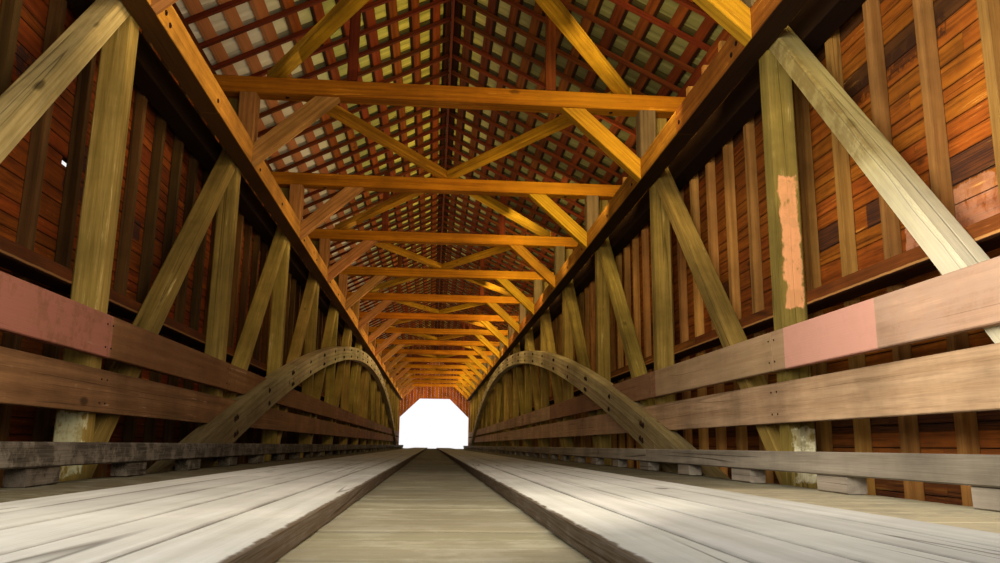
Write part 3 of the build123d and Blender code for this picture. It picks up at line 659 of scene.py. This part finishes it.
for side, word in bothSides:
    rng = random.Random(11 + side)
    places = []
    (low, high), (slateLow, slateHigh) = wall["span"], wall["slate"]
    z = low
    while z < high - 0.01:
        tall = rng.uniform(wall["boardLow"], wall["boardHigh"])
        if abs(z - slateLow) < 1e-6:
            tall = slateHigh - z
        elif z < slateLow < z + tall + 0.03:
            tall = slateLow - z
        if high - z - tall < wall["boardLow"] * 0.7:
            tall = high - z
        holed = side == hole["side"] and z < hole["high"][1] and z + tall > hole["low"][1]
        for x, lean in zip(wall["skins"], (0.0, hole["lean"])):
            for a, b in cutLengths(rng, -bridge["portalFace"], bridge["portalFace"], *wall["runs"]):
                spots = [(a, b, z, z + tall)]
                if holed and a < hole["low"][0] + lean < b:
                    spots = roundHole(*spots[0], lean, wall["butt"])
                for y0, y1, z0, z1 in spots:
                    if z1 - z0 > wall["least"]:
                        at = (side * (x + rng.uniform(-wall["shift"], wall["shift"])), (y0 + y1) / 2, (z0 + z1) / 2)
                        places.append((at, (y1 - y0 - wall["butt"], z1 - z0 - wall["gap"], wall["thick"]), lengthUp))
        z += tall
    boards(word + "WallBoards", places, word + "Board", [word + "_siding"], edge=0.03, seed=5 + side)
    end = bridge["portalFace"] - wall["butt"]
    spots = [(-end, end, low + wall["butt"], high - wall["butt"])]
    if side == hole["side"]:
        spots = roundHole(*spots[0], hole["lean"] / 2)
    shadeSheets = [((side * wall["lapX"], (a + b) / 2, (c + d) / 2), (b - a, d - c, wall["lapThick"]), lengthUp)
            for a, b, c, d in spots]
    boards(word + "WallGapShade", shadeSheets, "lapShadow", [], edge=0.0001)
    studs = [laid(side * stud["x"], y, stud, upright) for y in framePlaces]
    boards(word + "WallStuds", studs, word + "Stud", [word + "_studs"], shift=0.0004, twist=0.002,
           seed=9 + side)
print("side walls made")

# Trusses: posts, braces and chords. A leaf of the top chord has its place across and its first joint, in bays.
post = dict(x=1.27, z=2.75, size=(2.48, 2 * bridge["halfPost"], 0.1))
brace = dict(foot=1.86, endFoot=1.68, head=3.587, deep=0.075, inner=1.225, outer=1.315)
topChord = dict(leaves=((1.171, -6.5), (1.369, -6.0)), z=3.5275, joints=5, every=3, tall=0.129, thick=0.098)
lowChord = dict(leaves=((1.319, -5.5),), z=1.4, joints=4, every=4, tall=0.22, thick=0.198)
chordEnd = 13.956


def chordRuns(side, chord):
    runs = []
    for x, first in chord["leaves"]:
        cuts = [-chordEnd] + [(first + chord["every"] * i) * bridge["bay"]
                              for i in range(chord["joints"])] + [chordEnd]
        runs.extend(((side * x, (a + b) / 2, chord["z"]), (b - a - 0.003, chord["tall"], chord["thick"]), lengthUp)
                    for a, b in zip(cuts, cuts[1:]))
    return runs


for side, word in bothSides:
    posts = [laid(side * post["x"], postPlace(k), post, upright) for k in postRange]
    boards(word + "Posts", posts, "trussPine", [word + "_posts"], seed=21 + side)
    braces = []
    for k in range(bridge["halfBays"]):
        footY, headY = postPlace(k) + bridge["halfPost"], postPlace(k + 1) - bridge["halfPost"]
        footZ = brace["endFoot"] if k == 0 else brace["foot"]
        fall = brace["deep"] * math.hypot(1.0, (brace["head"] - footZ) / (headY - footY))
        for flip in (1, -1):
            rings = []
            for y, z in ((footY, footZ), (headY, brace["head"])):
                corners = ((brace["inner"], z - fall), (brace["outer"], z - fall), (brace["outer"], z),
                           (brace["inner"], z))
                rings.append([(side * x, flip * y, h) for x, h in corners])
            braces.append(rings)
    # The near left brace takes the lighter khaki pine, as painted light
    beams(word + "NearBrace", braces[:1], "palePine" if side > 0 else "litKhakiPine", [], ease=0.007,
          seed=4)
    beams(word + "Braces", braces[1:], "trussPine", [word + "_braces"], ease=0.006, seed=31 + side)
    boards(word + "TopChord", chordRuns(side, topChord), word + "Chord", [word + "_top_chord"],
           edge=0.035, seed=45 + side)
    boards(word + "BottomChord", chordRuns(side, lowChord), "frameOak", [word + "_bottom_chord"],
           edge=0.04, seed=51 + side)
print("trusses made")

# Tie beams, head blocks, knee braces, flat bracing, queen struts
tie = dict(z=3.9405, size=(2.836, 2 * bridge["halfTie"], 0.099))
headBlock = dict(x=1.171, z=3.7415, size=(0.299, 2 * bridge["halfTie"], 0.098))
queen = dict(x=0.585, below=0.0294, wide=0.03, deep=0.06)
flatBrace = dict(x=1.037, z=4.02, extra=0.06, wide=0.075, deep=0.06)
knee = dict(chord=1.122, head=0.655, half=0.0365, deep=0.095)
run, lift = knee["chord"] - knee["head"], rise["tieLow"] - rise["chordLow"]
footCut = knee["deep"] * math.hypot(run, lift) / run
headCut = knee["deep"] * math.hypot(run, lift) / lift
ties, laterals, queens = [], [], []
heads = {-1: [], 1: []}
knees = {-1: [], 1: []}
for k in postRange:
    y = tiePlace(k)
    ties.append(laid(0.0, y, tie, crosswise))
    for side in (-1, 1):
        heads[side].append(laid(side * headBlock["x"], y, headBlock, upright))
        a, b = y - knee["half"], y + knee["half"]
        footX, headX, cutX = side * knee["chord"], side * knee["head"], side * (knee["head"] + headCut)
        low, high = rise["chordLow"], rise["chordLow"] + footCut
        foot = [(footX, a, low), (footX, b, low), (footX, b, high), (footX, a, high)]
        head = [(x, y1, rise["tieLow"]) for x, y1 in ((headX, a), (headX, b), (cutX, b), (cutX, a))]
        knees[side].append((foot, head))
        if k % 2 == 0:
            top = rise["ridge"] - rise["slope"] * queen["x"] - queen["below"]
            at = (side * queen["x"], postPlace(k) - frameStep / 2, (rise["tieTop"] + top) / 2)
            queens.append((at, (top - rise["tieTop"], queen["wide"], queen["deep"]), upright))
for k in postRange[:-1]:
    for side in (-1, 1):
        reach = (side * flatBrace["x"], 0.0) if k % 2 == 0 else (0.0, side * flatBrace["x"])
        a, b = (Vector((x, tiePlace(j), flatBrace["z"])) for x, j in zip(reach, (k, k + 1)))
        along = (b - a).normalized()
        size = ((b - a).length + flatBrace["extra"], flatBrace["wide"], flatBrace["deep"])
        laterals.append((tuple((a + b) / 2), size, turnOf(along, (along.y, -along.x, 0))))
boards("tieBeams", ties, "tieFir", ["tie_beams"], edge=0.05, seed=61)
boards("rightHeadBlocks", heads[1], "frameOak", ["head_blocks"], seed=62)
# The left head blocks and knee braces take the duller fir, as painted shade
boards("leftHeadBlocks", heads[-1], "leftShadedFir", [], seed=67)
beams("leftKneeBraces", knees[-1], "leftShadedFir", ["left_knee_braces"], seed=63)
beams("rightKneeBraces", knees[1], "braceFir", ["right_knee_braces"], seed=64)
boards("flatBraces", laterals, "braceFir", ["lateral_braces"], shift=0.0007, seed=65)
boards("queenStruts", queens, "rafterSpruce", ["queen_struts"], seed=66)

# Bolts up through the ties, and through the chord leaves beside each post and in mid bay
chordBolt = dict(x=1.1205, z=3.53, fall=0.4, beside=(0.02, 0.075), mid=(0.79, 3.507), tie=(0.957, 3.889))
headTurn = {1: (0.0, -math.pi / 2, 0.0), -1: (0.0, math.pi / 2, 0.0)}
places = []
for k in postRange:
    for side in (-1, 1):
        places.append(((side * chordBolt["tie"][0], tiePlace(k), chordBolt["tie"][1]), (0.0, 0.0, 0.3)))
        spots = [(dy, chordBolt["z"] - chordBolt["fall"] * abs(dy)) for dy in chordBolt["beside"]]
        spots += [chordBolt["mid"]] if k < postRange[-1] else []
        places.extend(((side * chordBolt["x"], postPlace(k) + dy, z), headTurn[side]) for dy, z in spots)
bolts("tieBolts", places, washer=0.011, head=0.006, height=0.009)
print("ties and bracing made")

# Roof. Places down the slope are measured from the ridge.
roof = dict(rafterFrom=0.024, rafterDeep=0.026, rafterWide=0.03, tail=1.7, sheetFrom=0.006, eave=1.9495)
strip = dict(ridge=(0.012, 0.06), first=0.095, step=0.16, wide=0.08, count=12, up=0.0062, thick=0.0115, butt=0.002,
             runs=(8, 15))
rib = dict(step=0.114, low=0.0126, high=0.0189, thick=0.0008, steps=((0.0, 0), (0.52, 0), (0.66, 1), (0.86, 1)))
cosPitch, sinPitch = math.cos(pitch), math.sin(pitch)
ridgePoint = Vector((0, 0, rise["ridge"]))
for side, word in bothSides:
    down = Vector((side * cosPitch, 0, -sinPitch))
    normal = Vector((side * sinPitch, 0, cosPitch))
    a = ridgePoint + down * roof["rafterFrom"] - normal * roof["rafterDeep"] / 2
    b = ridgePoint + down * (roof["tail"] / cosPitch) - normal * roof["rafterDeep"] / 2
    mid = (a + b) / 2
    size = ((b - a).length, roof["rafterWide"], roof["rafterDeep"])
    rafters = [((mid.x, y, mid.z), size, turnOf(down, (0, 1, 0))) for y in framePlaces]
    boards(word + "Rafters", rafters, "rafterSpruce", [word + "_rafters"], twist=0.0012,
           seed=71 + side)
    rng = random.Random(75 + side)
    strips = []
    rows = [strip["ridge"]] + [(strip["first"] + i * strip["step"], strip["wide"]) for i in range(strip["count"])]
    for s, wide in rows:
        for y0, y1 in cutLengths(rng, -bridge["roofEnd"], bridge["roofEnd"], *strip["runs"]):
            at = ridgePoint + down * (s + wide / 2) + normal * strip["up"]
            size = (y1 - y0 - strip["butt"], wide * rng.uniform(0.92, 1.06), strip["thick"])
            strips.append(((at.x, (y0 + y1) / 2, at.z), size, turnOf((0, 1, 0), down)))
    boards(word + "RoofStrips", strips, "stripSpruce" if side < 0 else "rightShadedSpruce",
           [word + "_roof_strips"], edge=0.05, twist=0.0008, seed=77 + side)

    # Ribbed sheets: ribs run down the slope
    end = bridge["roofEnd"]
    count = int(2 * end / rib["step"])
    outline = [(-end + 2 * end * (i + part) / count, high) for i in range(count)
               for part, high in rib["steps"]] + [(end, 0)]
    verts = []
    for y, high in outline:
        base = rib["low"] + (rib["high"] - rib["low"]) * high
        for up in (base, base + rib["thick"]):
            verts.extend((ridgePoint + down * s + normal * up + Vector((0, y, 0)))
                         for s in (roof["sheetFrom"], roof["eave"]))
    faces = [(0, 1, 3, 2), tuple(len(verts) - 4 + i for i in (2, 3, 1, 0))]
    for i in range(len(outline) - 1):
        p, q = 4 * i, 4 * i + 4
        faces.extend([(p, q, q + 1, p + 1), (p + 2, p + 3, q + 3, q + 2), (p + 1, q + 1, q + 3, p + 3),
                      (p, p + 2, q + 2, q)])
    sheet = solid(word + "Roofing", verts, faces, roofing)
    sheet.materials.append(outerRoofing)
    for face in sheet.polygons:
        face.material_index = int(face.normal.z > 0.0)
    plainPiece(word + "Roofing", sheet, [word + "_roof"])
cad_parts["ridge_cap"].data.materials.clear()
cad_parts["ridge_cap"].data.materials.append(outerRoofing)
ridgeBoard = dict(z=4.857, count=6, step=4.655, size=(4.652, 0.13, 0.018))
eavePlate = dict(z=4.0988, count=8, step=3.4915, size=(3.4885, 0.086, 0.05))
wallGirt = dict(z=2.4675, count=8, step=3.489, size=(3.486, 0.055, 0.098))
boards("ridgeBoards", inRow(0.0, ridgeBoard), "rafterSpruce", ["ridge_board"], seed=81)
boards("eavePlates", inRow(-1.471, eavePlate) + inRow(1.471, eavePlate), "rafterSpruce",
       ["eave_plates"], seed=82)
boards("wallGirts", inRow(-1.369, wallGirt) + inRow(1.369, wallGirt), "girtPine", ["wall_girts"],
       seed=83)
print("roof made")

# Arch ribs: four bent plies with staggered butt joints
arch = dict(radius=40.44493, crown=3.194, plies=4, deep=0.165, seat=1.06, spring=13.25, inner=1.1242,
            outer=1.219, wide=0.096, bend=0.0012, glue=0.0006, butt=0.0002, plank=3.6, least=1.0, step=0.3)
archIn, archOut = arch["radius"], arch["radius"] + arch["deep"]
archBase = arch["crown"] - archIn


def archSpan(radius, z):
    return math.sqrt(radius ** 2 - (z - archBase) ** 2)


for side, word in bothSides:
    rng = random.Random(91 + side)
    verts, faces, local, sizes, tones = [], [], [], [], []
    ply = arch["deep"] / arch["plies"]
    for layer in range(arch["plies"]):
        foot = archIn + layer * ply
        r0 = foot + arch["glue"]
        r1 = r0 + ply - 2 * arch["glue"]
        reach = min(math.acos((arch["seat"] - archBase) / foot), math.asin(arch["spring"] / foot))
        start = -reach
        joint = -reach + arch["plank"] / r0 * rng.uniform(0.3, 1.0)
        while start < reach - 1e-6:
            stop = min(joint, reach)
            if reach - stop < arch["least"] / r0:
                stop = reach
            tone = rng.random()
            x0 = arch["inner"] + rng.uniform(-arch["bend"], arch["bend"])
            steps = max(2, int((stop - start) * r0 / arch["step"]))
            base = len(verts)
            for i in range(steps + 1):
                angle = start + arch["butt"] + (stop - start - 2 * arch["butt"]) * i / steps
                for x, r, y, z in ((x0, r0, -0.5, -0.5), (arch["outer"], r0, 0.5, -0.5),
                                   (arch["outer"], r1, 0.5, 0.5), (x0, r1, -0.5, 0.5)):
                    verts.append((side * x, r * math.sin(angle), archBase + r * math.cos(angle)))
                    local.append((angle * r0, y, z))
                    sizes.append((1.0, arch["wide"], ply))
                    tones.append(tone)
            for i in range(steps):
                p = base + 4 * i
                faces.extend((p + c, p + (c + 1) % 4, p + 4 + (c + 1) % 4, p + 4 + c) for c in range(4))
            faces.append((base + 3, base + 2, base + 1, base))
            faces.append(tuple(base + 4 * steps + c for c in range(4)))
            start = stop
            joint = stop + arch["plank"] / r0 * rng.uniform(0.85, 1.15)
    mesh = solid(word + "ArchPlies", verts, faces, finishes["archPine"], local, sizes, tones)
    plainPiece(word + "ArchPlies", mesh, [word + "_arch"])

# Bolts through the ribs, four at each post and two between
archBolt = dict(x=1.1225, end=12.6, apart=0.024, rows=(0.04, 0.125))
places = []
for side in (-1, 1):
    for k in range(33):
        y = (k - 16) * bridge["bay"] / 2
        if abs(y) > archBolt["end"]:
            continue
        for dy in (-archBolt["apart"], archBolt["apart"]) if k % 2 == 0 else (0.0,):
            for up in archBolt["rows"]:
                r = archIn + up
                angle = math.asin(y / archIn) + dy / r
                at = (side * archBolt["x"], r * math.sin(angle), archBase + r * math.cos(angle))
                places.append((at, headTurn[side]))
bolts("archBolts", places)
print("arches made")

# Floor
deck = dict(reach=14.06, z=1.78, long=2.23, wide=0.098, gap=0.004, thick=0.04)
runner = dict(middle=-0.051, inner=0.155, wide=0.458, planks=5, z=1.8136, thick=0.0275, gap=0.0035, butt=0.004)
curb = dict(z=1.8775, count=8, step=3.49, size=(3.484, 0.075, 0.063))
block = dict(x=1.077, z=1.823, count=42, perBay=2.5, long=0.18, wide=0.056, thick=0.046)
rng = random.Random(101)
planks = []
y = -deck["reach"]
while y < deck["reach"] - 0.02:
    wide = min(deck["wide"] * rng.uniform(0.93, 1.07), deck["reach"] - y)
    at = (0.0, y + wide / 2, deck["z"] - rng.uniform(0.0005, 0.003))
    planks.append((at, (deck["long"], wide - deck["gap"], deck["thick"]), crosswise))
    y += wide
boards("deckPlanks", planks, "deckPlank", ["deck"], edge=0.05, seed=103)
planks = []
for side in (-1, 1):
    inner = runner["middle"] + side * runner["inner"]
    step = side * runner["wide"] / runner["planks"]
    for j in range(runner["planks"]):
        first = -deck["reach"] - rng.uniform(0.0, 2.0)
        while first < deck["reach"]:
            last = first + rng.uniform(2.0, 2.6)
            a, b = max(first, -deck["reach"]), min(last, deck["reach"])
            if b - a > 0.05:
                size = (b - a - runner["butt"], abs(step) - runner["gap"], runner["thick"])
                planks.append(((inner + step * (j + 0.5), (a + b) / 2, runner["z"]), size, lengthwise))
            first = last
boards("runnerPlanks", planks, "runnerPlank", ["runners"], edge=0.05, shift=0.0003, twist=0.0005,
       seed=107)
blocks = []
rng = random.Random(111)
for side in (-1, 1):
    for i in range(block["count"]):
        at = (side * block["x"], (i - (block["count"] - 1) / 2) * bridge["bay"] / block["perBay"], block["z"])
        blocks.append((at, (block["long"] * rng.uniform(0.85, 1.0), block["wide"], block["thick"]), lengthwise))
curbs = [timber for x in (-1.0775, 1.0775) for timber in inRow(x, curb, lengthwise)]
boards("curbTimbers", curbs, "curbPine", ["curbs"], seed=113)
boards("curbBlocks", blocks, "curbPine", ["curb_blocks"], twist=0.015, seed=115)

# Guard planks butt at the posts and are cut to the ribs
rail = dict(rows=((2.007, 2.153), (2.197, 2.344)), thick=0.03, end=13.458, gap=0.003, butt=0.002)
for side, word in bothSides:
    x0, x1 = side * (bridge["halfClear"] - rail["thick"]), side * bridge["halfClear"]
    planks = []
    for row, (z0, z1) in enumerate(rail["rows"]):
        foot, top = (archSpan(archIn, z) - rail["gap"] for z in (z0, z1))
        footOut, topOut = (archSpan(archOut, z) + 2 * rail["gap"] for z in (z0, z1))
        cuts = [postPlace(k) for k in ((5, 8, 11) if row else (6, 10)) if abs(postPlace(k)) < top - 0.3]
        joints = [(-foot, -top)] + [(c, c) for c in cuts] + [(foot, top)]
        pairs = list(zip(joints, joints[1:])) + [((footOut, topOut), (rail["end"], rail["end"]))]
        # Beyond the arch foot the near planks break on the first two posts, the upper ones only
        joints = [postPlace(k) for k in (1, 2)] if row else []
        near = [(-rail["end"], -rail["end"])] + [(c, c) for c in joints] + [(-footOut, -topOut)]
        pairs.extend(zip(near, near[1:]))
        for (a0, a1), (b0, b1) in pairs:
            if b0 - a0 > 0.02:
                rings = []
                for low, high in ((a0 + rail["butt"], a1 + rail["butt"]), (b0 - rail["butt"], b1 - rail["butt"])):
                    rings.append([(x0, low, z0), (x1, low, z0), (x1, high, z1), (x0, high, z1)])
                planks.append(rings)
    beams(word + "GuardPlanks", planks, word + "Rail", [word + "_rails"], ease=0.003, seed=121 + side)

# Nails hold each guard plank at the posts, but not beside the ribs
nail = dict(x=1.1895, clear=0.05, dy=(-0.024, 0.024), dz=(-0.04, 0.04))
nails = []
for side in (-1, 1):
    for k in postRange:
        for z0, z1 in rail["rows"]:
            z = (z0 + z1) / 2
            inside = archSpan(archIn, z) - nail["clear"]
            outside = archSpan(archOut, z) + nail["clear"]
            if abs(postPlace(k)) < inside or abs(postPlace(k)) > outside:
                nails.extend(((side * nail["x"], postPlace(k) + dy, z + dz), headTurn[side]) for dy in nail["dy"]
                             for dz in nail["dz"])
bolts("railNails", nails, washer=0.0032, head=0.002, height=0.004)
print("floor and guard planks made")

# Under the floor: beams, which stop short of the ribs where these cross them, stringers and bed timbers
floorBeam = dict(z=1.585, wide=0.11, deep=0.15, shortHalf=1.119, shortFrom=10.87, shortTo=12.26)
stringer = dict(z=1.71, count=6, step=4.663, size=(4.66, 0.1, 0.06))
bed = dict(z=1.26, places=(13.376, 13.806), size=(2.836, 0.14, 0.06))
under = []
for k in postRange:
    for part in (-0.25, 0.25):
        y = postPlace(k) + part * bridge["bay"]
        if abs(y) <= bridge["portalFace"] - floorBeam["wide"]:
            short = floorBeam["shortFrom"] < abs(y) < floorBeam["shortTo"]
            half = floorBeam["shortHalf"] if short else bridge["halfFrame"]
            under.append(((0.0, y, floorBeam["z"]), (2 * half, floorBeam["wide"], floorBeam["deep"]), crosswise))
boards("floorBeams", under, "frameOak", ["floor_beams"], seed=131)
under = [timber for x in (-1.02, -0.68, -0.34, 0.0, 0.34, 0.68, 1.02) for timber in inRow(x, stringer)]
boards("floorStringers", under, "frameOak", ["stringers"], seed=133)
under = [laid(0.0, end * place, bed, crosswise) for end in (-1, 1) for place in bed["places"]]
boards("bedTimbers", under, "frameOak", ["bed_timbers"], seed=135)
print("floor frame made")

# Portal walls: upright boards cut to the gable and to the clipped opening
portal = dict(thick=0.024, board=0.12, gap=0.0012, back=0.0005, rough=0.003, under=0.004,
              low=1.35, half=1.481, side=1.2, flat=0.525, sideTop=2.865, flatTop=3.512)


def openingAt(x):
    x = abs(x)
    if x >= portal["side"] - 1e-6:
        return portal["low"]
    if x <= portal["flat"]:
        return portal["flatTop"]
    part = (portal["side"] - x) / (portal["side"] - portal["flat"])
    return portal["sideTop"] + part * (portal["flatTop"] - portal["sideTop"])


def gableAt(x):
    return rise["ridge"] - portal["under"] - rise["slope"] * abs(x)


for end, word in bothEnds:
    rng = random.Random(141 + end)
    stops = [-portal["half"], -portal["side"], -portal["flat"], 0.0, portal["flat"], portal["side"], portal["half"]]
    uprights = []
    for a, b in zip(stops, stops[1:]):
        n = max(1, round((b - a) / portal["board"]))
        for i in range(n):
            xa, xb = a + (b - a) * i / n + portal["gap"], a + (b - a) * (i + 1) / n - portal["gap"]
            y0 = end * (bridge["portalFace"] + portal["back"])
            y1 = end * (bridge["portalFace"] + portal["thick"] - rng.uniform(0.0, portal["rough"]))
            rings = [[(xa, y0, edge(xa)), (xb, y0, edge(xb)), (xb, y1, edge(xb)), (xa, y1, edge(xa))]
                     for edge in (openingAt, gableAt)]
            uprights.append(rings)
    beams(word + "PortalBoards", uprights, "rightBoard", [word + "_portal"], ease=0.002,
          seed=143 + end)
print("portals made")

# Abutments: courses of squared stone round a core of mortar
abut = dict(half=1.65, ground=0.0, front=13.1, seat=1.06, spring=13.25, shelf=1.23, backFace=14.0, top=1.76,
            back=14.16,
            inset=0.03, joint=0.009, long=0.36, deep=0.2, rough=0.016)
outline = (("front", "ground"), ("front", "seat"), ("spring", "seat"), ("spring", "shelf"),
           ("backFace", "shelf"), ("backFace", "top"), ("back", "top"), ("back", "ground"))
core = []
for y, z in ((abut[along], abut[up]) for along, up in outline):
    core.append((y + (abut["inset"] if y < abut["backFace"] + 0.01 else -abut["inset"]),
                 max(0.0, z - abut["inset"] * 0.5)))
for end, word in bothEnds:
    rng = random.Random(151 + end)
    width = abut["half"] - abut["inset"]
    verts = [(x, end * y, z) for x in (-width, width) for y, z in core]
    faces = [tuple(range(8)), tuple(range(8, 16))] + [(i, (i + 1) % 8, 8 + (i + 1) % 8, 8 + i) for i in range(8)]
    plainPiece(word + "AbutmentCore", solid(word + "AbutmentCore", verts, faces, mortar),
               [word + "_abutment"])
    courses = []
    for low, high, face, count in (("ground", "seat", "front", 7), ("seat", "shelf", "spring", 1),
                                   ("shelf", "top", "backFace", 4)):
        low, tall = abut[low], abut[high] - abut[low]
        courses.extend((low + i * tall / count, low + (i + 1) * tall / count, abut[face]) for i in range(count))
    stones = []
    half, y1 = abut["half"], abut["back"]
    for z0, z1, y0 in courses:
        deep = min(abut["deep"], y1 - y0)
        bands = [(y0, y0 + deep, -half, half)]
        if y1 - y0 > 2 * deep:
            bands += [(y1 - deep, y1, -half, half), (y0 + deep, y1 - deep, -half, -half + deep),
                      (y0 + deep, y1 - deep, half - deep, half)]
        for ya, yb, xa, xb in bands:
            along = xb - xa > yb - ya
            a, b = (xa, xb) if along else (ya, yb)
            while b - a > 0.02:
                long = abut["long"] * rng.uniform(0.6, 1.3)
                long = b - a if b - a - long < abut["long"] * 0.5 else long
                box = (a, a + long, ya, yb) if along else (xa, xb, a, a + long)
                inset = rng.uniform(0.006, 0.012)
                place = ((box[0] + box[1]) / 2, end * (box[2] + box[3]) / 2, (z0 + z1) / 2)
                size = (box[1] - box[0] - abut["joint"] - inset, box[3] - box[2] - abut["joint"] - inset,
                        z1 - z0 - abut["joint"])
                stones.append((place, size, (0.0, 0.0, 0.0)))
                a += long
    values = {"Rough": abut["rough"], "Seed": 153 + end, "Finish": stone}
    plainPiece(word + "AbutmentStones", grown(word + "AbutmentStones", stones, stonesOnPoints, values),
               [])
print("abutments made")

# Lamps, floor and backdrop
studio = dict(half=90, paper="#E9E7E1", light=0.85)
ground = bpy.data.meshes.new("studioFloor")
corners = [(x * studio["half"], y * studio["half"], 0) for x, y in ((-1, -1), (1, -1), (1, 1), (-1, 1))]
ground.from_pydata(corners, [], [(0, 1, 2, 3)])
floorPiece = bpy.data.objects.new("studioFloor", ground)
scene.collection.objects.link(floorPiece)
paper, tree = newFinish("paleStudioPaper")
paperShade = addNode(tree, "ShaderNodeBsdfPrincipled", {"Base Color": linear(studio["paper"]), "Roughness": 0.9})
addNode(tree, "ShaderNodeOutputMaterial", {"Surface": paperShade.outputs[0]})
ground.materials.append(paper)

world = bpy.data.worlds.new("studio")
scene.world = world
world.use_nodes = True
tree = world.node_tree
tree.nodes.clear()
path = addNode(tree, "ShaderNodeLightPath").outputs
mirrored = calc(tree, "MAXIMUM", path["Is Glossy Ray"], path["Is Transmission Ray"])
seen = calc(tree, "MAXIMUM", path["Is Camera Ray"], mirrored)
light, white = (output(tree, "ShaderNodeBackground", {"Color": (1.0, 1.0, 1.0, 1.0), "Strength": power})
                for power in (studio["light"], 1.0))
both = output(tree, "ShaderNodeMixShader", {0: seen, 1: light, 2: white})
addNode(tree, "ShaderNodeOutputWorld", {"Surface": both})


def areaLamp(name, place, aim, wide, long, power, colour, fan=180.0):
    lamp = bpy.data.lights.new(name, "AREA")
    lamp.shape = "RECTANGLE"
    lamp.size = wide
    lamp.size_y = long
    lamp.energy = power
    lamp.spread = math.radians(fan)
    lamp.color = linear(colour)[:3]
    holder = bpy.data.objects.new(name, lamp)
    scene.collection.objects.link(holder)
    holder.location = place
    z = -Vector(aim).normalized()
    y = Vector((0, 1, 0)) if abs(z.y) < 0.9 else Vector((0, 0, 1))
    x = y.cross(z).normalized()
    holder.rotation_euler = Matrix((x, z.cross(x), z)).transposed().to_euler()
    holder.visible_camera = False


# The near right side gets most, the left side and the far bays less.
# A long wash has its place across and up, aim, width, colour, and runs of start, stop and power per metre.
washes = dict(
    rightWash=((-0.25, 2.95), (1, 0, 0.02), 1.3, "#FFF0D8", ((-13.6, 13.6, 0.45), (-13.9, -11.9, 4.2))),
    leftWash=((0.25, 3.2), (-1, 0, 0.02), 0.9, "#FFE8C8", ((-13.6, 13.6, 1.15), (-13.9, -11.6, 1.6))),
    leftRoofWash=((-0.5, 4.075), (-0.25, 0, 1), 0.9, "#FFE6BC", ((-13.6, 13.6, 1.4), (-8.4, 13.6, 2.7))),
    rightRoofWash=((0.5, 4.075), (0.25, 0, 1), 0.9, "#FFE6BC", ((-13.6, 13.6, 0.35), (-8.4, 13.6, 1.6))),
    deckWash=((0.25, 3.85), (0, 0, -1), 1.4, "#FFFFFF", ((-13.6, 13.6, 0.1), (-14.0, -11.6, 11.0))))
for name, (place, aim, wide, colour, runs) in washes.items():
    for i, (start, stop, power) in enumerate(runs):
        long = stop - start
        areaLamp(name + str(i), (place[0], (start + stop) / 2, place[1]), aim, wide, long, power * long, colour)
areaLamp("leftFaces", (-0.45, 0.0, 3.62), (-1, 0, -0.12), 0.12, 27.2, 34.0, "#FFE0B0", 70.0)
areaLamp("nearRight", (-0.3, -13.7, 2.8), (1.5, 0.75, -0.02), 1.1, 0.8, 25.0, "#FFF8EE", 105.0)
areaLamp("nearLeft", (0.2, -13.7, 2.6), (-1.4, 1.0, 0.0), 0.8, 0.6, 19.0, "#FFF0DC")
areaLamp("nearFill", (-0.9, -15.9, 2.7), (2.1, 3.3, 0.45), 1.5, 1.5, 48.0, "#FFFCF6")
for k in postRange:
    areaLamp("forward%02d" % k, (0.0, tiePlace(k) - 1.25, 3.3), (0, 1, 0.4), 1.4, 0.4, 3.0 if k < 3 else 6.5,
             "#FFDDA0")
    areaLamp("ends%02d" % k, (0.88, tiePlace(k) - 0.85, 3.78), (0.15, 1, 0.12), 0.3, 0.25, 8.5 if k < 4 else 10.0,
             "#FFE2A0")
areaLamp("farPortal", (0.0, 12.7, 3.3), (0, 1, 0.1), 2.0, 0.5, 8.0, "#FFDDB0")

# Camera: low over the floor at the near end. Its focal length is in pixels of a frame 1000 wide.
view = dict(focal=801.7, frame=1000, sensor=36.0, yaw=0.0806, tilt=0.2024, roll=0.013,
            place=(-0.0592, -14.617, 1.9135))
(sinYaw, cosYaw), (sinTilt, cosTilt), (sinRoll, cosRoll) = ((math.sin(view[key]), math.cos(view[key]))
                                                            for key in ("yaw", "tilt", "roll"))
forward = Vector((sinYaw * cosTilt, cosYaw * cosTilt, sinTilt))
right = Vector((cosYaw, -sinYaw, 0.0))
up = right.cross(forward)
camera = bpy.data.cameras.new("camera")
camera.sensor_width = view["sensor"]
camera.lens = view["focal"] / view["frame"] * view["sensor"]
camera.clip_start = 0.02
camera.clip_end = 500.0
cameraHolder = bpy.data.objects.new("camera", camera)
scene.collection.objects.link(cameraHolder)
turned = Matrix((right * cosRoll + up * sinRoll, up * cosRoll - right * sinRoll, -forward)).transposed().to_4x4()
cameraHolder.matrix_world = Matrix.Translation(view["place"]) @ turned
scene.camera = cameraHolder
scene.view_settings.view_transform = "Standard"
print("lamps and camera placed")
